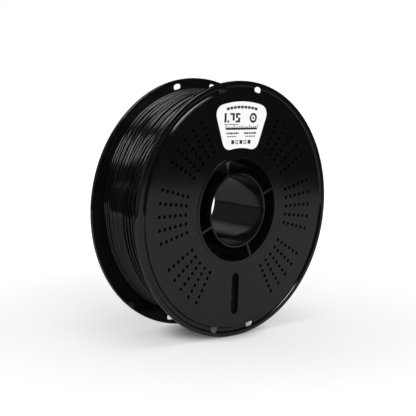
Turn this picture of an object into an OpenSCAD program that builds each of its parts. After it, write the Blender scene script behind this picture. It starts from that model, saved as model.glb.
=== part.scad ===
// Filament spool: two moulded flanges on a ribbed hub core, full of wound filament.
// The axis of the spool runs along Y and the labelled face looks along -Y. The spool stands on
// its rims. The origin is the centre of the bore, half way along it.
// Clock angles run clockwise from the top, as seen from the labelled side.

/* [Spool] */
// Outer diameter of the flanges
spool_d = 200; // [196:1:206]
// Width over the outer faces of the flanges
spool_w = 57; // [54:1:62]
// Bore for the holder that the spool turns on
bore_d = 55.5; // [52:0.5:57]

/* [Flange] */
// Thickness of the disc
flange_t = 3; // [2.8:0.1:3.4]
// Radial width of the outer lip
lip_w = 3; // [2.6:0.1:3.2]
// Radial width of the channel inside the lip
channel_w = 4.5; // [4.2:0.1:4.5]
// Depth of the channel
channel_d = 1.8; // [1.6:0.1:2]
// Radius of the rounding along the channel's floor
channel_fillet = 1.6; // [1:0.1:1.6]
// Radius of the rounding of the rim's outer edge
rim_round = 0.6; // [0.3:0.1:0.9]

/* [Vent holes] */
// Diameter of one vent hole
vent_d = 2.8; // [1.6:0.1:3]
// Radius of the innermost hole of a row
vent_r = 53.8; // [52:0.2:55]
// Distance between the holes of a row
vent_pitch = 5.13; // [4.6:0.01:5.2]
// Holes in one radial row
vent_holes = 6; // [3:1:6]
// Radial rows in one field
vent_rows = 5; // [3:1:5]
// Angle between two rows
vent_row_angle = 7.3; // [6:0.1:7.3]

/* [Window and tie slots] */
// Width of the inspection window
window_w = 7.6; // [5:0.1:9]
// Radius at the inner end of the window
window_r1 = 49.6; // [48:0.2:52]
// Radius at the outer end of the window
window_r2 = 82.4; // [76:0.2:85]
// Length of a tie slot, along the rim
tie_l = 7.8; // [7:0.1:10]
// Width of a tie slot
tie_w = 4.8; // [4.6:0.1:5.2]
// Clock angle of the tie slots, from the top and the bottom
tie_angle = 11.5; // [9:0.5:14]

/* [Hub core] */
// Radius of the drum that the filament is wound on
drum_r = 42; // [42:0.2:45]
// Step from the drum down to the neck that carries a flange
shoulder = 0.8; // [0.6:0.1:1]
// Inner radius of the drum wall
pocket_r = 40.1; // [38:0.1:40.2]
// Wall of the bore tube
tube_t = 1.6; // [1.4:0.1:2.4]
// Thickness of a rib
rib_t = 2; // [1.4:0.1:3]
// Clock angle of the first of the four ribs
rib_angle = -22.5; // [-45:0.5:45]
// Height of the hub's end rings over the flange's face
proud = 0.4; // [0.3:0.1:0.8]

/* [Label] */
// Inner radius of the label
label_r1 = 48.5; // [46:0.5:52]
// Outer radius of the label
label_r2 = 84.3; // [76:0.1:88]
// Half of the angle that the label covers
label_half = 20; // [15:0.1:24]
// Corner radius of the label
label_corner = 7.5; // [3:0.5:8]
// Thickness of the label
label_t = 0.15; // [0.1:0.05:0.3]
// Clock angle that the label is stuck on at
label_turn = 0.5; // [-2:0.1:2]

/* [Filament] */
// Diameter of the filament
filament_d = 1.75; // [1.6:0.05:1.75]
// Outer radius of the wound filament
wound_r = 90; // [80:0.2:91]
// Turns of the outer layer
turns = 22; // [12:1:22]

/* [Hidden] */

rim_r = spool_d / 2;
face_z = spool_w / 2;
inner_z = face_z - flange_t;
floor_z = face_z - channel_d;
lip_r = rim_r - lip_w;
channel_r = lip_r - channel_w;
edge_round = 0.15;          // small rounding of the channel's edges, the rim's inner edge and the hub's end rings
fillet_r = min(channel_fillet, channel_d - edge_round);

neck_r = drum_r - shoulder;
hub_z = face_z + proud;
collar_r = neck_r + 1;
seat_gap = 0.1;             // play between neck and flange
tube_r = bore_d / 2 + tube_t;
mouth = 0.4;                // lead-in at both ends of the bore
rib_drop = edge_round + 0.05; // the ribs end just below the rounded edges of the end rings

field_angles = [45, 90, 135, 225, 270, 315];
tie_r = channel_r + channel_w / 2;
tie_angles = [tie_angle, -tie_angle, 180 - tie_angle, 180 + tie_angle];

side_gap = 0.3;             // play between the filament and the flanges
rings = 24;                 // rings of the tube in one turn
sides = 6;                  // sides of the tube
turn_r = wound_r - filament_d / 2;
// The tube's chords dip below the turn's radius, so the pack stays clear of their middles
pack_r = turn_r * cos(180 / rings) - filament_d / 2 - 0.05;
first_y = inner_z - side_gap - filament_d / 2;
pitch = 2 * first_y / turns;
bend_r = 2.35;              // bend of the filament where it dives into the pack
root_r = turn_r - bend_r - filament_d;
start_clock = 115;
ledge = 1.2;                // half width of the notch that an end dives into

bend_steps = 3;

fine = 180;

function ring_arc(c, r, from, to, n = 5) =
    [for (i = [0:n]) let (a = from + (to - from) * i / n) c + r * [cos(a), sin(a)]];

// Places children at a radius and a clock angle of a face that lies in XY, with +Y as its top
module at_clock(angle, r) {
    rotate(-angle)
        translate([0, r, 0])
            children();
}

// Turns a part that is built along Z so that its outer side looks along -Y, or along +Y
module face_front() {
    rotate([90, 0, 0])
        children();
}

module face_rear() {
    rotate([90, 0, 180])
        children();
}

// A through cut with round ends, its length along X
module long_hole(length, width) {
    run = length - width;
    translate([-run / 2, -width / 2, inner_z - 1])
        cube([run, width, flange_t + 2]);
    for (side = [-1, 1])
        translate([side * run / 2, 0, inner_z - 1])
            cylinder(d = width, h = flange_t + 2, $fn = 48);
}

// Section of a flange: rim, lip, channel with rounded floor, and the flat disc down to the hub
module flange_section() {
    polygon(concat(
        [[neck_r + seat_gap, inner_z]],
        ring_arc([rim_r - edge_round, inner_z + edge_round], edge_round, -90, 0, 3),
        ring_arc([rim_r - rim_round, face_z - rim_round], rim_round, 0, 90),
        ring_arc([lip_r + edge_round, face_z - edge_round], edge_round, 90, 180, 3),
        ring_arc([lip_r - fillet_r, floor_z + fillet_r], fillet_r, 0, -90, 7),
        ring_arc([channel_r + fillet_r, floor_z + fillet_r], fillet_r, 270, 180, 7),
        ring_arc([channel_r - edge_round, face_z - edge_round], edge_round, 0, 90, 3),
        [[neck_r + seat_gap, face_z]]
    ));
}

// One field of vent holes, in straight radial rows
module vent_field() {
    for (row = [0:vent_rows - 1])
        for (hole = [0:vent_holes - 1])
            at_clock((row - (vent_rows - 1) / 2) * vent_row_angle, vent_r + hole * vent_pitch)
                translate([0, 0, inner_z - 1])
                    cylinder(d = vent_d, h = flange_t + 2, $fn = 20);
}

// The moulding that serves as both flanges
module flange() {
    difference() {
        rotate_extrude($fn = fine)
            flange_section();
        for (angle = field_angles)
            rotate(-angle)
                vent_field();
        at_clock(180, (window_r1 + window_r2) / 2)
            rotate(90)
                long_hole(window_r2 - window_r1, window_w);
        for (angle = tie_angles)
            at_clock(angle, tie_r)
                long_hole(tie_l, tie_w);
    }
}

// Section of the drum wall: shoulders, necks and the collars outside the flanges
module drum_half_section() {
    polygon(concat(
        [[pocket_r, 0], [drum_r, 0], [drum_r, inner_z], [neck_r, inner_z], [neck_r, face_z],
        [collar_r, face_z]],
        ring_arc([collar_r - edge_round, hub_z - edge_round], edge_round, 0, 90, 3),
        ring_arc([pocket_r + edge_round, hub_z - edge_round], edge_round, 90, 180, 3)
    ));
}

module tube_section() {
    bore_r = bore_d / 2;
    polygon(concat(
        [[bore_r, mouth - hub_z], [bore_r + mouth, -hub_z]],
        ring_arc([tube_r - edge_round, edge_round - hub_z], edge_round, -90, 0, 3),
        ring_arc([tube_r - edge_round, hub_z - edge_round], edge_round, 0, 90, 3),
        [[bore_r + mouth, hub_z], [bore_r, hub_z - mouth]]
    ));
}

module rib() {
    inner = tube_r - tube_t / 2;
    outer = pocket_r + (neck_r - pocket_r) / 2;
    translate([-rib_t / 2, inner, rib_drop - hub_z])
        cube([rib_t, outer - inner, 2 * (hub_z - rib_drop)]);
}

module hub_core() {
    color("#161719")
        face_front() {
            rotate_extrude($fn = fine) {
                drum_half_section();
                mirror([0, 1])
                    drum_half_section();
            }
            rotate_extrude($fn = fine)
                tube_section();
            for (quarter = [0:3])
                rotate(-rib_angle - 90 * quarter)
                    rib();
        }
}

module front_flange() {
    color("#161719")
        face_front()
            flange();
}

module rear_flange() {
    color("#161719")
        face_rear()
            flange();
}

// Outline between two radii and two radial lines
module sector(r1, r2, half) {
    steps = 12;
    angles = [for (i = [0:steps]) -half + 2 * half * i / steps];
    polygon(concat(
        [for (a = angles) r2 * [sin(a), cos(a)]],
        [for (i = [steps:-1:0]) r1 * [sin(angles[i]), cos(angles[i])]]
    ));
}

module label() {
    color("white")
        face_front()
            rotate(-label_turn)
                translate([0, 0, face_z])
                    linear_extrude(label_t)
                        offset(r = label_corner, $fn = 32)
                            offset(delta = -label_corner)
                                sector(label_r1, label_r2, label_half);
}

// Notch in the pack for one end of the outer layer: its floor is square to the filament
module end_notch(clock, y, way) {
    reach = bend_r + 2 * ledge;
    rotate([0, clock, 0])
        translate([way > 0 ? -ledge : ledge - reach, y - ledge, root_r])
            cube([reach, 2 * ledge, wound_r - root_r]);
}

module filament_pack() {
    color("#1b1c1f")
        difference() {
            face_front()
                rotate_extrude($fn = fine)
                    translate([drum_r + seat_gap, side_gap - inner_z])
                        square([pack_r - drum_r - seat_gap, 2 * (inner_z - side_gap)]);
            end_notch(start_clock, -first_y, 1);
            end_notch(end_clock, first_y, -1);
        }
}

// Route of the outer layer. An end rises square out of its notch, bends into the turn and then
// climbs from flange to flange. dive() gives the rise as [angle along the turn, radius] pairs.
function dive() = concat(
    [[0, root_r], [0, root_r + filament_d]],
    [for (i = [1:bend_steps]) let (a = 90 * i / bend_steps)
        [asin((bend_r - bend_r * cos(a)) / turn_r), root_r + filament_d + bend_r * sin(a)]]
);
bend_clock = asin(bend_r / turn_r);
end_clock = start_clock + 360 * turns + 2 * bend_clock;

function on_turn(clock, r, y) = [r * sin(clock), y, r * cos(clock)];
route = concat(
    [for (p = dive()) on_turn(start_clock + p[0], p[1], -first_y)],
    [for (i = [1:turns * rings - 1])
        on_turn(start_clock + bend_clock + 360 * i / rings, turn_r, -first_y + pitch * i / rings)],
    [for (i = [len(dive()) - 1:-1:0]) let (p = dive()[i])
        on_turn(end_clock - p[0], p[1], first_y)]
);

// Ring of the tube at point i, square to the route there
function unit(v) = v / norm(v);
function heading(i) = let (last = len(route) - 1)
    i == 0 ? unit(route[1] - route[0]) :
    i == last ? unit(route[last] - route[last - 1]) :
    unit(unit(route[i + 1] - route[i]) + unit(route[i] - route[i - 1]));
function tube_ring(i) =
    let (t = heading(i), across = unit([0, 1, 0] - t[1] * t), up = cross(t, across))
    [for (k = [0:sides - 1])
        route[i] + filament_d / 2 * (across * cos(360 * k / sides) + up * sin(360 * k / sides))];

module filament_winding() {
    count = len(route);
    points = [for (i = [0:count - 1]) each tube_ring(i)];
    walls = [for (i = [0:count - 2], k = [0:sides - 1]) let (
        a = i * sides + k,
        b = i * sides + (k + 1) % sides)
        each [[a, b + sides, b], [a, a + sides, b + sides]]];
    last = (count - 1) * sides;
    caps = [for (k = [1:sides - 2]) each [[0, k, k + 1], [last, last + k + 1, last + k]]];
    color("#1b1c1f")
        polyhedron(points = points, faces = concat(walls, caps));
}

// Least gap between two turns, centre line to centre line less one diameter
gaps = [for (i = [0:len(route) - rings - 2], j = [rings - 1:rings + 1])
    if (i + j < len(route)) norm(route[i + j] - route[i]) - filament_d];
echo(turns = turns, pitch = pitch, least_gap = min(gaps));

hub_core();
front_flange();
rear_flange();
label();
filament_pack();
filament_winding();
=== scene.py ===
import math
import random

import bpy
import numpy as np
from mathutils import Matrix, Vector


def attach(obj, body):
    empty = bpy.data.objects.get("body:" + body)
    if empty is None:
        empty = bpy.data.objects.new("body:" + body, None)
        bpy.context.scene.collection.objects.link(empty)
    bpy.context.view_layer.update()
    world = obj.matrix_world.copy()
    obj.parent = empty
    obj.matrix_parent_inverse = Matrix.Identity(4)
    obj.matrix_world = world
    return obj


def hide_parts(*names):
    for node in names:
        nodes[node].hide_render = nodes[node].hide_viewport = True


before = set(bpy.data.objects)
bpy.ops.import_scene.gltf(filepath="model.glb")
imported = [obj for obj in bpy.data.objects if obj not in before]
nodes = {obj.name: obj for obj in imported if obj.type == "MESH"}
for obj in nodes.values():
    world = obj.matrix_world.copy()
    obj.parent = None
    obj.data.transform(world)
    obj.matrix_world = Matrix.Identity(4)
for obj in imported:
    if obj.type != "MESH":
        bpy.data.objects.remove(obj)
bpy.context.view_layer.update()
mm = 0.001
print("frame loaded:", sorted(nodes))


# small helpers

def linear(hexColour):
    # a linear colour with full alpha from an sRGB hex value
    parts = [int(hexColour[i:i + 2], 16) / 255 for i in (1, 3, 5)]
    return [p / 12.92 if p <= 0.04045 else ((p + 0.055) / 1.055) ** 2.4 for p in parts] + [1.0]


def addNode(tree, kind, settings=None, links=None):
    node = tree.nodes.new(kind)
    for name, value in (settings or {}).items():
        if isinstance(name, int) or name in node.inputs:
            node.inputs[name].default_value = value
        else:
            setattr(node, name, value)
    for name, source in (links or {}).items():
        tree.links.new(source, node.inputs[name])
    return node


def newMaterial(name):
    material = bpy.data.materials.new(name)
    material.use_nodes = True
    material.node_tree.nodes.clear()
    return material, material.node_tree


def meshObject(name, points, faces, material, smooth=True):
    mesh = bpy.data.meshes.new(name)
    mesh.from_pydata([tuple(p) for p in points], [], [tuple(f) for f in faces])
    mesh.update()
    if smooth:
        mesh.polygons.foreach_set("use_smooth", [True] * len(mesh.polygons))
    mesh.materials.append(material)
    made = bpy.data.objects.new(name, mesh)
    bpy.context.scene.collection.objects.link(made)
    return made


def addMap(made, name, corners):
    # a UV map from one flat list, two numbers for each corner of each face
    made.data.uv_layers.new(name=name).data.foreach_set("uv", corners)


def onClock(angle, radius, y):
    # a point at a clock angle (radians, clockwise from the top seen from the label side)
    return (radius * math.sin(angle), y, radius * math.cos(angle))


# the camera, at the angle that the spool is seen from
view = {
    "place": (-0.615054, -0.665253, 0.120113),      # m
    "right": (0.73980688, -0.67202961, 0.03258814), "up": (0.06585709, 0.12053162, 0.99052257),
    "lens": 99.494, "sensor": 36,                   # mm
}
camera = bpy.data.cameras.new("camera")
camera.sensor_width = view["sensor"]
camera.lens = view["lens"]
viewRight, viewUp = Vector(view["right"]), Vector(view["up"])
viewAxes = Matrix((viewRight, viewUp, viewRight.cross(viewUp))).transposed().to_4x4()
cameraObject = bpy.data.objects.new("camera", camera)
cameraObject.matrix_world = Matrix.Translation(view["place"]) @ viewAxes
bpy.context.scene.collection.objects.link(cameraObject)
bpy.context.scene.camera = cameraObject
print("camera placed")


noiseLow, noiseHigh = 0.3, 0.7      # most of a noise texture's values lie between these

# High-impact polystyrene, injection moulded in a polished tool: near black, a clear gloss that
# goes softer in broad faint patches where the melt cooled unevenly.
styrene = {
    "black": "#08090a", "blackWorn": "#0c0d0e",
    "flowPatch": 26.0,          # mm, size of the cooling patches
    "orangePeel": 2.2,          # mm, the tool's faint waviness; drawn coarser than real to show
    "relief": (0.06, 0.02),     # strength of the waviness, and its height in mm
    "dust": 0.9,                # mm, specks that dull the gloss; drawn coarser than real to show
    "dustRange": (0.66, 0.8),   # noise values between which a speck comes up
    "dustRoughness": 0.06,      # what a speck adds to the roughness
    "roughness": (0.08, 0.13), "ior": 1.55,
}


def mouldedStyrene(name, values):
    material, tree = newMaterial(name)
    place = addNode(tree, "ShaderNodeTexCoord")
    patches = addNode(tree, "ShaderNodeTexNoise",
                      {"Scale": 1 / (values["flowPatch"] * mm), "Detail": 3.0, "Roughness": 0.55},
                      {"Vector": place.outputs["Object"]})
    specks = addNode(tree, "ShaderNodeTexNoise",
                     {"Scale": 1 / (values["dust"] * mm), "Detail": 2.0, "Roughness": 0.6},
                     {"Vector": place.outputs["Object"]})
    speckMask = addNode(tree, "ShaderNodeMapRange",
                        {"From Min": values["dustRange"][0], "From Max": values["dustRange"][1],
                         "To Min": 0.0, "To Max": values["dustRoughness"]},
                        {"Value": specks.outputs["Fac"]})
    gloss = addNode(tree, "ShaderNodeMapRange",
                    {"From Min": noiseLow, "From Max": noiseHigh, "To Min": values["roughness"][0],
                     "To Max": values["roughness"][1]},
                    {"Value": patches.outputs["Fac"]})
    roughness = addNode(tree, "ShaderNodeMath", {"operation": "ADD"},
                        {0: gloss.outputs["Result"], 1: speckMask.outputs["Result"]})
    colour = addNode(tree, "ShaderNodeMix",
                     {"data_type": "RGBA", 6: linear(values["black"]), 7: linear(values["blackWorn"])},
                     {0: patches.outputs["Fac"]})
    peel = addNode(tree, "ShaderNodeTexNoise",
                   {"Scale": 1 / (values["orangePeel"] * mm), "Detail": 1.0, "Roughness": 0.4},
                   {"Vector": place.outputs["Object"]})
    strength, height = values["relief"]
    bump = addNode(tree, "ShaderNodeBump", {"Strength": strength, "Distance": height * mm},
                   {"Height": peel.outputs["Fac"]})
    shader = addNode(tree, "ShaderNodeBsdfPrincipled", {"IOR": values["ior"]},
                     {"Base Color": colour.outputs[2], "Roughness": roughness.outputs["Value"],
                      "Normal": bump.outputs["Normal"]})
    addNode(tree, "ShaderNodeOutputMaterial", links={"Surface": shader.outputs["BSDF"]})
    return material


glossStyrene = mouldedStyrene("moulded black polystyrene", styrene)
for name in ("hub_core", "front_flange", "rear_flange"):
    nodes[name].data.materials[0] = glossStyrene

# PLA thread, extruded and wound while new: glossy black with long dull streaks along the thread
# where it touched the guide.
thread = {
    "black": "#060607", "greyStreak": "#0d0e0f",
    "streakAcross": 0.8,        # mm, width of a streak
    "streakAlong": 80.0,        # mm, length of a streak
    "relief": (0.15, 0.02),     # strength of the streaks, and their height in mm
    "roughness": (0.09, 0.18), "ior": 1.53,
}
# the same thread under the outer layer, rougher and in a darker colour: painted shade for the gaps
# between the outer turns
shadedUnderThread = {**thread, "black": "#040405", "greyStreak": "#08090a", "streakAlong": 60.0,
               "roughness": (0.45, 0.6), "ior": 1.46}
# and where its layers end at the flanges, rougher and in a lighter colour: a painted highlight for the
# glints on the thread ends
glintEndThread = {**thread, "black": "#08090a", "greyStreak": "#151719", "streakAlong": 60.0,
             "roughness": (0.28, 0.4), "ior": 1.55}


def extrudedThread(name, values):
    material, tree = newMaterial(name)
    route = addNode(tree, "ShaderNodeUVMap", {"uv_map": "route"})
    # the route map holds millimetres along and round the thread
    stretched = addNode(tree, "ShaderNodeMapping",
                        {"Scale": (1 / values["streakAlong"], 1 / values["streakAcross"], 1)},
                        {"Vector": route.outputs["UV"]})
    streaks = addNode(tree, "ShaderNodeTexNoise",
                      {"noise_dimensions": "2D", "Scale": 1.0, "Detail": 3.0, "Roughness": 0.6},
                      {"Vector": stretched.outputs["Vector"]})
    gloss = addNode(tree, "ShaderNodeMapRange",
                    {"From Min": noiseLow, "From Max": noiseHigh, "To Min": values["roughness"][0],
                     "To Max": values["roughness"][1]},
                    {"Value": streaks.outputs["Fac"]})
    colour = addNode(tree, "ShaderNodeMix",
                     {"data_type": "RGBA", 6: linear(values["black"]), 7: linear(values["greyStreak"])},
                     {0: streaks.outputs["Fac"]})
    strength, height = values["relief"]
    bump = addNode(tree, "ShaderNodeBump", {"Strength": strength, "Distance": height * mm},
                   {"Height": streaks.outputs["Fac"]})
    shader = addNode(tree, "ShaderNodeBsdfPrincipled", {"IOR": values["ior"]},
                     {"Base Color": colour.outputs[2], "Roughness": gloss.outputs["Result"],
                      "Normal": bump.outputs["Normal"]})
    addNode(tree, "ShaderNodeOutputMaterial", links={"Surface": shader.outputs["BSDF"]})
    return material


blackThread = extrudedThread("extruded black PLA thread", thread)
# the row under the outer turns: a darker copy of the thread, painted shade
shadedRowThread = extrudedThread("black PLA thread painted darker as shade", shadedUnderThread)
# the ends of the layers: a lighter copy of the thread, painted highlight
paintedGlintThread = extrudedThread("black PLA thread painted lighter for glints", glintEndThread)

# Coated label paper, printed and die cut: clean white, a soft sheen and a trace of fibre.
paper = {
    "white": "#f4f5f5", "shade": "#e9ebec",
    "fibre": 0.6,               # mm, size of the fibre's mottle
    "relief": (0.1, 0.01),      # strength of the fibre, and its height in mm
    "roughness": (0.38, 0.5), "ior": 1.5,
}


def coatedPaper(name, values):
    material, tree = newMaterial(name)
    place = addNode(tree, "ShaderNodeTexCoord")
    fibres = addNode(tree, "ShaderNodeTexNoise",
                     {"Scale": 1 / (values["fibre"] * mm), "Detail": 4.0, "Roughness": 0.7},
                     {"Vector": place.outputs["Object"]})
    colour = addNode(tree, "ShaderNodeMix",
                     {"data_type": "RGBA", 6: linear(values["white"]), 7: linear(values["shade"])},
                     {0: fibres.outputs["Fac"]})
    gloss = addNode(tree, "ShaderNodeMapRange",
                    {"To Min": values["roughness"][0], "To Max": values["roughness"][1]},
                    {"Value": fibres.outputs["Fac"]})
    strength, height = values["relief"]
    bump = addNode(tree, "ShaderNodeBump", {"Strength": strength, "Distance": height * mm},
                   {"Height": fibres.outputs["Fac"]})
    shader = addNode(tree, "ShaderNodeBsdfPrincipled", {"IOR": values["ior"]},
                     {"Base Color": colour.outputs[2], "Roughness": gloss.outputs["Result"],
                      "Normal": bump.outputs["Normal"]})
    addNode(tree, "ShaderNodeOutputMaterial", links={"Surface": shader.outputs["BSDF"]})
    return material


labelPaper = coatedPaper("coated label paper", paper)
nodes["label"].data.materials[0] = labelPaper

# Printer's ink on the coated paper: flat black, thinner and greyer in a fine mottle.
ink = {
    "black": "#101112", "thin": "#242629",
    "mottle": 0.5,              # mm, size of the mottle
    "roughness": (0.4, 0.55), "ior": 1.5,
}


def printedInk(name, values):
    material, tree = newMaterial(name)
    place = addNode(tree, "ShaderNodeTexCoord")
    mottle = addNode(tree, "ShaderNodeTexNoise",
                     {"Scale": 1 / (values["mottle"] * mm), "Detail": 3.0, "Roughness": 0.6},
                     {"Vector": place.outputs["Object"]})
    colour = addNode(tree, "ShaderNodeMix",
                     {"data_type": "RGBA", 6: linear(values["black"]), 7: linear(values["thin"])},
                     {0: mottle.outputs["Fac"]})
    gloss = addNode(tree, "ShaderNodeMapRange",
                    {"To Min": values["roughness"][0], "To Max": values["roughness"][1]},
                    {"Value": mottle.outputs["Fac"]})
    shader = addNode(tree, "ShaderNodeBsdfPrincipled", {"IOR": values["ior"]},
                     {"Base Color": colour.outputs[2], "Roughness": gloss.outputs["Result"]})
    addNode(tree, "ShaderNodeOutputMaterial", links={"Surface": shader.outputs["BSDF"]})
    return material


blackInk = printedInk("printed black ink", ink)
print("materials made")


# The outer layer of the wound filament. Lengths are in mm, and clock angles in degrees clockwise
# from the top, seen from the label side.
winding = {
    "thread": 1.75,
    "meanRadius": 90.25, "edge": 25.25,     # the layer's outside, and half its width
    "perTurn": 180, "sides": 10,            # points along a turn, and round the thread
    "offCentre": (0.6, 2.1),    # the package is wound a little out of true, to the right and up
    "start": 115, "count": 22,  # where each turn starts (clock), and how many there are
    "lay": 1.745,               # from turn to turn where they touch
    "leastGap": 0.02,           # between turns with no opening, before all are fitted to the width
    # openings between turns, by stretch of the clock: (from, to, [(place along the spool, width)])
    "openings": [
        (115, 214, [(21.0, 0.6), (18.0, 0.8), (9.5, 0.9), (1.0, 0.8), (-7.0, 1.2), (-16.0, 0.9)]),
        (214, 272, [(19.6, 0.7), (16.8, 0.6), (2.2, 1.2), (-1.2, 1.7), (-5.0, 1.7), (-9.3, 0.9),
                    (-12.4, 0.6)]),
        (272, 284, [(20.6, 0.5), (1.0, 1.0), (-2.2, 1.7), (-5.6, 1.6), (-9.5, 1.3), (-12.5, 1.0)]),
        (284, 308, [(20.8, 1.6), (16.6, 1.4), (3.0, 0.9), (-0.2, 0.8), (-3.9, 1.7), (-7.2, 1.4),
                    (-10.0, 1.3), (-12.6, 1.4)]),
        (308, 345, [(19.0, 2.0), (9.6, 1.6), (0.4, 1.7), (-4.0, 1.9), (-7.4, 0.9), (-10.2, 1.2),
                    (-13.4, 1.2)]),
        (345, 475, [(22.0, 0.6), (17.4, 1.4), (10.6, 0.5), (-1.0, 1.3), (-4.8, 1.0), (-12.6, 1.6),
                    (-18.0, 0.9)])],
    "openingFade": 6,           # degrees over which an opening comes and goes
    # each turn runs level and then steps over to the next place: (for turns that start no higher
    # than this along the spool, middle of the step, degrees that it takes), the last that fits
    "steps": [(30, 333, 24), (12.5, 326, 24), (4, 300, 22), (-30, 296, 24)],
    "stepSpread": 5,            # degrees that a step may come early or late
    "ride": 0.14,               # how much a thread lifts where it steps over
    "sway": 0.07,               # how far turns waver sideways, about
    "swell": 0.42,              # how far a turn may lie high or low
    "swayBlend": 14, "swellBlend": 90,  # degrees that the two are evened out over
    # on the left every second turn lies high and the others low, with half the swell: how far,
    # from, to, fade
    "nestle": (0.4, 276, 352, 16),
    # the first turn sinks beside the rear flange: how far, from, to, fade
    "firstSink": (0.9, 195, 275, 15),
    # both ends dive under the layer: how far, degrees in a step, number of steps
    "dive": (2.6, 2.2, 9),
}
rng = random.Random(41)     # gives the winding's unevenness and the dashes on the label


def smoothNoise(count, size):
    # a closed wave of a few random harmonics, one value per point of a turn
    wave = np.zeros(count)
    around = np.arange(count) / count * 2 * math.pi
    for harmonic in (1, 2, 3, 5, 8):
        height = rng.uniform(-1, 1) / harmonic
        wave += height * np.sin(harmonic * around + rng.uniform(0, 6.28))
    return wave * size


def smoothStep(x):
    x = np.clip(x, 0, 1)
    return x * x * (3 - 2 * x)


def softBand(x, low, high, fade):
    # one between low and high, and nothing outside them, with a fade inside both ends
    return smoothStep((x - low) / fade) * smoothStep((high - x) / fade)


def evenedOut(values, weights):
    # each value mixed with its neighbours, in the shares that the weights give
    return np.convolve(values, weights / weights.sum(), "same")


def turnPlaces(values):
    # places of the turns along the spool, one row per point of a turn
    top = values["edge"] - values["thread"] / 2
    count, lay, fade = values["count"], values["lay"], values["openingFade"]
    clocks = values["start"] + np.arange(values["perTurn"] + 1) * 360 / values["perTurn"]
    gaps = np.full((len(clocks), count), values["leastGap"])
    for low, high, openings in values["openings"]:
        share = softBand(clocks, low - fade / 2, high + fade / 2, fade)
        above = 0
        for place, width in openings:
            gaps[:, max(0, round((top - place - above) / lay) - 1)] += width * share
            above += width
    gaps *= (2 * top - count * lay) / gaps.sum(1)[:, None]
    return np.hstack([np.full((len(clocks), 1), top), top - np.cumsum(lay + gaps, axis=1)])


def packageRadius(clock, radius):
    # radius from the spool's axis of a package wound out of true
    toRight, upward = winding["offCentre"]
    return radius + toRight * math.sin(clock) + upward * math.cos(clock)


places = turnPlaces(winding)
turns, perTurn = winding["count"], winding["perTurn"]
threadRadius = winding["thread"] / 2
turnRadius = winding["meanRadius"] - threadRadius
sway = evenedOut(np.concatenate([smoothNoise(perTurn, winding["sway"]) for _ in range(turns)]),
                 np.ones(perTurn * winding["swayBlend"] // 360))
swell = evenedOut(np.repeat([rng.uniform(-1, 1) for _ in range(turns)], perTurn),
                  np.hanning(perTurn * winding["swellBlend"] // 360))
stepJitter = [rng.uniform(-winding["stepSpread"], winding["stepSpread"]) for _ in range(turns)]


def stepOver(turn, degrees):
    # how far the thread has stepped over to the next place, 0 to 1, and how much it rides up
    fitting = [(middle, width) for highest, middle, width in winding["steps"]
               if places[0, turn] <= highest]
    middle, width = fitting[-1]
    middle += stepJitter[turn]
    done = float(smoothStep((degrees - middle) / width + 0.5))
    return done, math.exp(-((degrees - middle) / width * 2) ** 2)


def outerRoute():
    # points along the middle of the thread, and the way out from the axis at each
    route, outward = [], []
    limit = winding["edge"] - threadRadius
    nestle, *nestleBand = winding["nestle"]
    sink, *sinkBand = winding["firstSink"]
    for i in range(turns * perTurn + 1):
        j = min(i, turns * perTurn - 1)
        turn, part = divmod(j, perTurn)
        # the clock angle counted on from turn to turn, and within this turn
        degrees = winding["start"] + 360 * i / perTurn
        inTurn = winding["start"] + 360 * part / perTurn
        clock = math.radians(degrees)
        done, lift = stepOver(turn, inTurn)
        y = places[part, turn] * (1 - done) + places[part, turn + 1] * done
        if 0 < turn < turns - 1:
            y += sway[j]
        settled = float(softBand(inTurn, *nestleBand))
        r = packageRadius(clock, turnRadius) + winding["ride"] * lift
        r += winding["swell"] * swell[j] * (1 - settled / 2) + nestle * settled * (1 - 2 * (turn % 2))
        if turn == 0:
            r -= sink * float(softBand(degrees, *sinkBand))
        route.append(onClock(clock, r, max(-limit, min(limit, y))))
        outward.append(onClock(clock, 1, 0))
    depth, stepDegrees, steps = winding["dive"]
    for k in range(1, steps + 1):
        under = depth * (1 - math.cos(math.pi * k / steps)) / 2
        for way in (-1, 1):     # before the first point, and after the last
            clock = math.radians(winding["start"]) + math.radians(stepDegrees) * k * way
            at = 0 if way == -1 else len(route)
            route.insert(at, onClock(clock, packageRadius(clock, turnRadius) - under, -way * limit))
            outward.insert(at, onClock(clock, 1, 0))
    return route, outward


def tubeMesh(name, points, outward, radius, sides, material):
    # a round tube along a route; outward is a direction across the route at each point
    points, outward = np.asarray(points, float), np.asarray(outward, float)
    along = np.gradient(points, axis=0)
    along /= np.linalg.norm(along, axis=1)[:, None]
    outward = outward - (outward * along).sum(1)[:, None] * along
    outward /= np.linalg.norm(outward, axis=1)[:, None]
    sideways = np.cross(along, outward)
    angles = np.arange(sides) / sides * 2 * math.pi
    rings = (outward[:, None, :] * np.cos(angles)[None, :, None]
             + sideways[:, None, :] * np.sin(angles)[None, :, None])
    verts = (points[:, None, :] + radius * rings).reshape(-1, 3) * mm
    pieces = len(points) - 1
    ringStart, side = np.arange(pieces)[:, None] * sides, np.arange(sides)[None, :]
    a = (ringStart + side).ravel()
    b = (ringStart + (side + 1) % sides).ravel()
    faces = np.stack([a, b, b + sides, a + sides], 1).tolist()
    faces.append(list(range(sides))[::-1])
    faces.append([pieces * sides + k for k in range(sides)])
    made = meshObject(name, verts, faces, material)
    length = np.concatenate([[0], np.cumsum(np.linalg.norm(np.diff(points, axis=0), axis=1))])
    width = 2 * math.pi * radius / sides
    corners = []
    for k in range(pieces):
        for s in range(sides):
            corners += [length[k], s * width, length[k], (s + 1) * width,
                        length[k + 1], (s + 1) * width, length[k + 1], s * width]
    corners += [0.0] * (2 * sides * 2)      # the two end faces
    addMap(made, "route", corners)
    return made


route, outward = outerRoute()
outerTurns = tubeMesh("outerTurns", route, outward, threadRadius, winding["sides"], blackThread)
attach(outerTurns, "root")
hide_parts("filament_winding")
print("outer layer:", turns, "turns")


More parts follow.
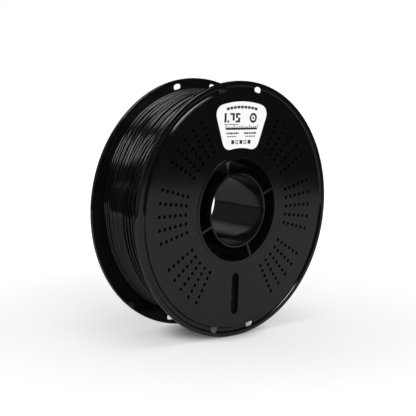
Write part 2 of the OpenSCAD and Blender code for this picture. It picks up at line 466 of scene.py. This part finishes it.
# the layers inside: a row of turns under the outer layer, and the ends of the layers that show
# at both flanges (mm)
inside = {
    "core": 42.2, "edge": 25.2,
    "layer": 1.62,              # from layer to layer, about
    "below": 1.75,              # from the outer turns down to the row
    "lay": 1.74,                # from turn to turn in the row, about
    "uneven": 0.12,             # how far a turn of the row may lie low
    "slack": 0.3,               # how far any layer may stop short of the flange
    "inset": 1.3, "leastInset": 0.6,    # every second one stops shorter: the most, and its least share
    "steps": 200,               # points round the spool
    "bumpHalf": 62, "bumpPoints": 5,    # degrees of a thread that show each way, and points on it
    "streakRadius": 80,         # where the streaks have their true length
}


def bumps(centres, facing):
    # a row of round threads joined where they meet; facing is 0 outward, 1 and -1 along the spool
    made = []
    for y, r in centres:
        for s in range(inside["bumpPoints"]):
            a = math.radians(inside["bumpHalf"] * (2 * s / (inside["bumpPoints"] - 1) - 1))
            if facing == 0:
                made.append((r + threadRadius * math.cos(a), y - threadRadius * math.sin(a)))
            else:
                made.append((r + threadRadius * math.sin(a), y + facing * threadRadius * math.cos(a)))
    return made


def insideProfile():
    # the section as (radius, y), from the core out, over the row and back, and the row's part of it
    core, edge = inside["core"], inside["edge"] - threadRadius
    top = turnRadius - inside["below"]
    layers = int((top - core) / inside["layer"])
    radii = [core + threadRadius + (top - core - threadRadius) * k / layers for k in range(layers)]
    shift = []
    for k in range(layers + 1):
        slack = rng.uniform(0, inside["slack"])
        shift.append(slack + inside["inset"] * (k % 2) * rng.uniform(inside["leastInset"], 1))
    count = int(2 * edge / inside["lay"])
    rowCentres = [(edge - 2 * edge * k / count, top - rng.uniform(0, inside["uneven"]))
                  for k in range(count + 1)]
    rear = bumps([(edge - shift[k], r) for k, r in enumerate(radii)], 1)
    row = bumps(rowCentres, 0)
    front = bumps([(-edge + shift[-k - 1], r) for k, r in enumerate(radii)], -1)
    points = [(core, edge)] + rear + row + front[::-1] + [(core, -edge)]
    return np.array(points), range(len(rear) + 1, len(rear) + len(row))


def layersMesh(name, profile, rowPart, endMaterial, rowMaterial):
    # the section carried round the spool, less out of true towards the core
    count, steps, core = len(profile), inside["steps"], inside["core"]
    across = np.concatenate([[0], np.cumsum(np.linalg.norm(np.diff(profile, axis=0), axis=1))])
    along = [2 * math.pi * inside["streakRadius"] * k / steps for k in range(steps + 1)]
    verts, faces, corners = [], [], []
    for k in range(steps):
        clock = 2 * math.pi * k / steps
        here, beyond = k * count, (k + 1) % steps * count
        for p, (r, y) in enumerate(profile):
            share = (r - core) / (turnRadius - core)
            verts.append([c * mm for c in onClock(clock, r + share * packageRadius(clock, 0), y)])
            q = (p + 1) % count
            faces.append((here + p, here + q, beyond + q, beyond + p))
            low, high = across[p], across[min(p + 1, count - 1)]
            corners += [along[k], low, along[k], high, along[k + 1], high, along[k + 1], low]
    made = meshObject(name, verts, faces, endMaterial)
    made.data.materials.append(rowMaterial)
    made.data.polygons.foreach_set("material_index",
                                   [int(p in rowPart) for p in range(count)] * steps)
    addMap(made, "route", corners)
    return made


section, sectionRow = insideProfile()
# the ends take the lighter copy (painted highlight) and the row the darker one (painted shade)
innerLayers = layersMesh("innerLayers", section, sectionRow, paintedGlintThread, shadedRowThread)
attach(innerLayers, "root")
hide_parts("filament_pack")
print("inner layers:", len(section), "points in section")


# print on the label: a plain number, a ring, a scale and rows of dashes (mm)
printing = {
    "face": -28.65, "lift": 0.02,               # the label's face, and the print above it
    "turn": 0.5,                                # degrees that the label is turned
    "arc": (79.0, 81.0, 12.0, 9, 0.8),          # radii, half angle, number and share of the pieces
    "number": (-18.3, 68.2, 4.7, 7.2, 1.5),     # left, foot, width, height, stroke of a digit
    "upright": 1.4,                             # strokes in the width of an upright
    "point": (3.1, 1.2),                        # from the left, and its width in strokes
    "digits": (5.9, 1.2, ("1010010", "1101011")),   # from the left, gap, and the bars of each
    "ring": (12.2, 71.6, 3.9, 2.1, 0.9),        # middle, outer and inner radius, dot
    "ringPieces": 36, "dotPoints": 16,
    "scale": (-16.8, 62.6, 16.8, 1.5, 2.1),     # left, foot, right, line, step
    "ticks": (0.7, 1.1, 2.2, 4),                # width, height, height of a long one, one in so many
    "squares": (-10.2, 51.6, 3.0, 5, 1.35),     # left, foot, side, count, gap
    "openSquare": (0.75, 1.35),                 # its radii to the corners, in halves of the side
    # rows of dashes: left, foot, right, height
    "dashes": [(-15.6, 59.2, -2.6, 1.4), (-15.0, 57.0, -5.0, 0.9),
               (2.8, 59.2, 15.6, 1.4), (4.4, 57.0, 15.0, 0.9), (-18.3, 66.3, -3.6, 0.7)],
    "dash": (0.9, 2.3), "dashGap": (0.4, 0.7),  # shortest and longest
}
marks = {"points": [], "faces": []}


def addMark(outline):
    # a flat shape on the label, given as (x, z) before the label's turn
    turnBy = math.radians(printing["turn"])
    start = len(marks["points"])
    for x, z in outline:
        marks["points"].append(((x * math.cos(turnBy) + z * math.sin(turnBy)) * mm,
                                (printing["face"] - printing["lift"]) * mm,
                                (z * math.cos(turnBy) - x * math.sin(turnBy)) * mm))
    marks["faces"].append(list(range(start, start + len(outline))))


def bar(x0, z0, x1, z1):
    addMark([(x0, z0), (x1, z0), (x1, z1), (x0, z1)])


def band(x, z, inner, outer, first, last, pieces, share=1.0):
    # pieces of a ring round (x, z), from one clock angle to another, with gaps if share is below 1
    for k in range(pieces):
        low = first + (last - first) * (k + (1 - share) / 2) / pieces
        high = first + (last - first) * (k + (1 + share) / 2) / pieces
        a, b = math.radians(low), math.radians(high)
        addMark([(x + inner * math.sin(a), z + inner * math.cos(a)),
                 (x + inner * math.sin(b), z + inner * math.cos(b)),
                 (x + outer * math.sin(b), z + outer * math.cos(b)),
                 (x + outer * math.sin(a), z + outer * math.cos(a))])


def digit(x, z, width, height, stroke, lit):
    # bars of a digit: top, upper left, upper right, middle, lower left, lower right, foot
    middle, upright = z + height / 2, stroke * printing["upright"]
    right, top = x + width, z + height
    bars = [(x, top - stroke, right, top), (x, middle, x + upright, top - stroke),
            (right - upright, middle, right, top - stroke),
            (x + upright, middle - stroke / 2, right - upright, middle + stroke / 2),
            (x, z + stroke, x + upright, middle), (right - upright, z + stroke, right, middle),
            (x, z, right, z + stroke)]
    for corners, on in zip(bars, lit):
        if on == "1":
            bar(*corners)


def printNumber(left, foot, width, height, stroke):
    bar(left, foot, left + stroke * printing["upright"], foot + height)
    pointLeft, pointWidth = printing["point"]
    bar(left + pointLeft, foot, left + pointLeft + stroke * pointWidth, foot + stroke)
    across, gap, digits = printing["digits"]
    for lit in digits:
        digit(left + across, foot, width, height, stroke, lit)
        across += width + gap


def printRing(x, z, outer, inner, dot):
    band(x, z, inner, outer, 0, 360, printing["ringPieces"])
    angles = [2 * math.pi * k / printing["dotPoints"] for k in range(printing["dotPoints"])]
    addMark([(x + dot * math.sin(a), z + dot * math.cos(a)) for a in angles])


def printScale(left, foot, right, line, step):
    bar(left, foot, right, foot + line)
    width, short, tall, every = printing["ticks"]
    for k in range(int((right - left) / step) + 1):
        x, height = left + step * k, tall if k % every == 0 else short
        bar(x, foot + line, x + width, foot + line + height)


def printSquares(left, foot, side, count, gap):
    # filled and open ones in turn
    inner, outer = printing["openSquare"]
    for k in range(count):
        x = left + k * (side + gap)
        if k % 2 == 0:
            bar(x, foot, x + side, foot + side)
        else:
            band(x + side / 2, foot + side / 2, side / 2 * inner, side / 2 * outer, 45, 405, 4)


def printDashes(left, foot, right, height):
    x = left
    while x < right:
        length = min(rng.uniform(*printing["dash"]), right - x)
        bar(x, foot, x + length, foot + height)
        x += length + rng.uniform(*printing["dashGap"])


arcInner, arcOuter, arcHalf, arcPieces, arcShare = printing["arc"]
band(0, 0, arcInner, arcOuter, -arcHalf, arcHalf, arcPieces, arcShare)
printNumber(*printing["number"])
printRing(*printing["ring"])
printScale(*printing["scale"])
printSquares(*printing["squares"])
for dashes in printing["dashes"]:
    printDashes(*dashes)
labelPrint = meshObject("labelPrint", marks["points"], marks["faces"], blackInk, smooth=False)
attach(labelPrint, "root")
print("label print:", len(marks["faces"]), "marks")


# the studio (m): pale floor, dark cards and bright panels that only gloss sees, two soft lamps
studio = {
    "floorSize": 8.0, "floorZ": -0.1, "floorColour": "#cfd0d1",
    # the floor's white is held back in a spot under the spool, which is short along its axis: there the
    # real shadow stays dark, and the spot's edge makes it deeper and narrower (painted shadow)
    "shadowSpotScale": (1, 1.3, 0), "shadowSpotShift": (0, 0.008, 0),
    # away from the spot's middle the white rises twice: from, to, and the strength it gains
    "nearWhite": (0.02, 0.055, 0.4), "farWhite": (0.1, 0.7, 0.35),
    "cardCentre": (0.085, -0.09), "cardRadius": 0.9, "cardTop": 1.25, "cardSides": 64,
    "cardColour": "#101114", "floorCardColour": "#b2b5b8",
    "floorCardLeft": -0.56, "floorCardLift": 0.0005,
    "panelFallFrom": 0.35,      # share of a panel's width after which its strength falls
    # the strength of the light from all round, low down and high up, and the heights between
    # which it changes, as the sine of the angle above the floor
    "sky": (2.1, 0.2), "skyHeights": (0.3, 0.6),
}


def seenRays(tree):
    # one where the ray comes from the camera, a gloss or glass
    rays = addNode(tree, "ShaderNodeLightPath")
    seen = addNode(tree, "ShaderNodeMath", {"operation": "MAXIMUM"},
                   {0: rays.outputs["Is Camera Ray"], 1: rays.outputs["Is Glossy Ray"]})
    return addNode(tree, "ShaderNodeMath", {"operation": "MAXIMUM"},
                   {0: seen.outputs[0], 1: rays.outputs["Is Transmission Ray"]}).outputs[0]


def studioFloor(name, values):
    # a matt floor, and a white over it that only the camera, gloss and glass see, held back under the
    # spool as a painted shadow
    material, tree = newMaterial(name)
    matt = addNode(tree, "ShaderNodeBsdfDiffuse", {"Color": linear(values["floorColour"])})
    place = addNode(tree, "ShaderNodeNewGeometry")
    # the spot where the white is held back: painted shadow under the spool
    shadowSpot = addNode(tree, "ShaderNodeMapping",
                   {"Scale": values["shadowSpotScale"], "Location": values["shadowSpotShift"]},
                   {"Vector": place.outputs["Position"]})
    reach = addNode(tree, "ShaderNodeVectorMath", {"operation": "LENGTH"}, {0: shadowSpot.outputs["Vector"]})
    nearFrom, nearTo, nearStrength = values["nearWhite"]
    near = addNode(tree, "ShaderNodeMapRange",
                   {"interpolation_type": "SMOOTHSTEP", "From Min": nearFrom, "From Max": nearTo,
                    "To Max": nearStrength}, {"Value": reach.outputs["Value"]})
    farFrom, farTo, farStrength = values["farWhite"]
    far = addNode(tree, "ShaderNodeMapRange",
                  {"From Min": farFrom, "From Max": farTo, "To Max": farStrength},
                  {"Value": reach.outputs["Value"]})
    white = addNode(tree, "ShaderNodeMath", {"operation": "ADD"},
                    {0: near.outputs[0], 1: far.outputs[0]})
    seenWhite = addNode(tree, "ShaderNodeMath", {"operation": "MULTIPLY"},
                        {0: seenRays(tree), 1: white.outputs[0]})
    glow = addNode(tree, "ShaderNodeEmission", {"Color": (1, 1, 1, 1)},
                   {"Strength": seenWhite.outputs[0]})
    lit = addNode(tree, "ShaderNodeAddShader", links={0: matt.outputs[0], 1: glow.outputs[0]})
    addNode(tree, "ShaderNodeOutputMaterial", links={"Surface": lit.outputs[0]})
    return material


def glossOnly(thing):
    thing.visible_camera = thing.visible_diffuse = thing.visible_shadow = False
    thing.visible_transmission = thing.visible_volume_scatter = False


def mattCard(name, colour):
    material, tree = newMaterial(name)
    shader = addNode(tree, "ShaderNodeBsdfDiffuse", {"Color": linear(colour)})
    addNode(tree, "ShaderNodeOutputMaterial", links={"Surface": shader.outputs[0]})
    return material


floorHalf, floorZ = studio["floorSize"] / 2, studio["floorZ"]
floorCorners = [(floorHalf * x, floorHalf * y, floorZ) for x, y in ((-1, -1), (1, -1), (1, 1), (-1, 1))]
floor = meshObject("studioFloor", floorCorners, [(0, 1, 2, 3)], studioFloor("studio floor", studio),
                   smooth=False)

blackCard = mattCard("black card", studio["cardColour"])
greyCard = mattCard("grey card", studio["floorCardColour"])
centreX, centreY = studio["cardCentre"]
cardRadius, cardTop, cardSides = studio["cardRadius"], studio["cardTop"], studio["cardSides"]
cardEdge = [(centreX + cardRadius * math.cos(2 * math.pi * k / cardSides),
             centreY + cardRadius * math.sin(2 * math.pi * k / cardSides)) for k in range(cardSides)]
wallPoints = [(x, y, z) for x, y in cardEdge for z in (floorZ, cardTop)]
wallFaces = [(2 * k, 2 * ((k + 1) % cardSides), 2 * ((k + 1) % cardSides) + 1, 2 * k + 1)
             for k in range(cardSides)]
glossOnly(meshObject("cardWall", wallPoints, wallFaces, blackCard, smooth=False))
ceilingPoints = [(x, y, cardTop) for x, y in cardEdge]
glossOnly(meshObject("cardCeiling", ceilingPoints, [range(cardSides)], blackCard, smooth=False))
# the card on the floor ends in a straight edge on the left
floorPoints = [(max(x, studio["floorCardLeft"]), y, floorZ + studio["floorCardLift"])
               for x, y in cardEdge]
glossOnly(meshObject("cardFloor", floorPoints, [range(cardSides)], greyCard, smooth=False))

panels = {
    # name: centre, half width and half height as vectors (m), strength, soft edge as a share,
    # strength left at the right end as a share
    "topPanel": ((-0.04, -0.395, 1.065), (0.42, 0.1, 0.03), (0, 0.155, 0.055), 17.5, 0.1, 0.28),
    "topHaze": ((0.5, -0.06, 1.09), (0.36, 0, 0), (0, 0.1, 0.02), 3.6, 0.2, 1.0),
    "sidePanel": ((-0.6, 0.05, 0.53), (0.11, 0, 0.14), (0, 0.06, 0), 28, 0.1, 1.0),
    "backGlow": ((-0.08, 0.6, 0.5), (0.33, 0, 0), (0, -0.15, 0.15), 0.6, 0.45, 1.0),
    "backHaze": ((0.05, 0.68, 0.24), (0.42, 0, 0), (0, 0, 0.26), 0.13, 0.3, 1.0),
    "leftHaze": ((-0.45, 0.52, 0.21), (0.17, 0.15, 0), (0, 0, 0.31), 0.15, 0.16, 1.0),
}


def litPanel(name, strength, edge, farShare):
    # bright inside soft edges, and falling towards the right end
    material, tree = newMaterial(name)
    place = addNode(tree, "ShaderNodeUVMap", {"uv_map": "panel"})
    where = addNode(tree, "ShaderNodeSeparateXYZ", links={0: place.outputs[0]})
    fades = []
    for axis in (0, 1):
        inward = addNode(tree, "ShaderNodeMath", {"operation": "PINGPONG", 1: 0.5},
                         {0: where.outputs[axis]})
        fades.append(addNode(tree, "ShaderNodeMapRange",
                             {"interpolation_type": "SMOOTHSTEP", "From Min": 0.0, "From Max": edge},
                             {"Value": inward.outputs[0]}))
    fade = addNode(tree, "ShaderNodeMath", {"operation": "MULTIPLY"},
                   {0: fades[0].outputs[0], 1: fades[1].outputs[0]})
    fall = addNode(tree, "ShaderNodeMapRange",
                   {"interpolation_type": "SMOOTHSTEP", "From Min": studio["panelFallFrom"],
                    "From Max": 1.0, "To Min": strength, "To Max": strength * farShare},
                   {"Value": where.outputs[0]})
    level = addNode(tree, "ShaderNodeMath", {"operation": "MULTIPLY"},
                    {0: fade.outputs[0], 1: fall.outputs[0]})
    glow = addNode(tree, "ShaderNodeEmission", {"Color": (1, 1, 1, 1)}, {"Strength": level.outputs[0]})
    addNode(tree, "ShaderNodeOutputMaterial", links={"Surface": glow.outputs[0]})
    return material


for name, (centre, halfWidth, halfHeight, strength, edge, farShare) in panels.items():
    middle, across, upward = Vector(centre), Vector(halfWidth), Vector(halfHeight)
    corners = [middle - across - upward, middle + across - upward, middle + across + upward,
               middle - across + upward]
    panel = meshObject(name, corners, [(0, 1, 2, 3)], litPanel(name, strength, edge, farShare),
                       smooth=False)
    addMap(panel, "panel", [0, 0, 1, 0, 1, 1, 0, 1])
    glossOnly(panel)


def studioWorld(name, values):
    # white to the camera, gloss and glass; as light, strong low down all round and weak from above
    made = bpy.data.worlds.new(name)
    made.use_nodes = True
    tree = made.node_tree
    tree.nodes.clear()
    place = addNode(tree, "ShaderNodeTexCoord")
    direction = addNode(tree, "ShaderNodeSeparateXYZ", links={0: place.outputs["Generated"]})
    strength = addNode(tree, "ShaderNodeMapRange",
                       {"interpolation_type": "SMOOTHSTEP", "From Min": values["skyHeights"][0],
                        "From Max": values["skyHeights"][1], "To Min": values["sky"][0],
                        "To Max": values["sky"][1]}, {"Value": direction.outputs["Z"]})
    soft = addNode(tree, "ShaderNodeBackground", {"Color": (1, 1, 1, 1)},
                   {"Strength": strength.outputs[0]})
    white = addNode(tree, "ShaderNodeBackground", {"Color": (1, 1, 1, 1), "Strength": 1.0})
    choice = addNode(tree, "ShaderNodeMixShader",
                     links={0: seenRays(tree), 1: soft.outputs[0], 2: white.outputs[0]})
    addNode(tree, "ShaderNodeOutputWorld", links={"Surface": choice.outputs[0]})
    return made


bpy.context.scene.world = studioWorld("studio", studio)

lamps = {
    # name: direction from the spool, distance (m), size (m), power (W)
    "topLamp": ((-0.1, -0.2, 1.0), 1.35, 0.7, 4.0),
    "frontLamp": ((-0.45, -0.8, 0.42), 1.3, 0.8, 4.0),
}
for name, (direction, distance, size, power) in lamps.items():
    lamp = bpy.data.lights.new(name, "AREA")
    lamp.size = size
    lamp.energy = power
    holder = bpy.data.objects.new(name, lamp)
    holder.location = Vector(direction).normalized() * distance
    holder.rotation_mode = "QUATERNION"
    holder.rotation_quaternion = Vector(direction).to_track_quat("Z", "Y")
    holder.visible_glossy = False
    bpy.context.scene.collection.objects.link(holder)

bpy.context.scene.view_settings.view_transform = "Standard"
print("studio ready")
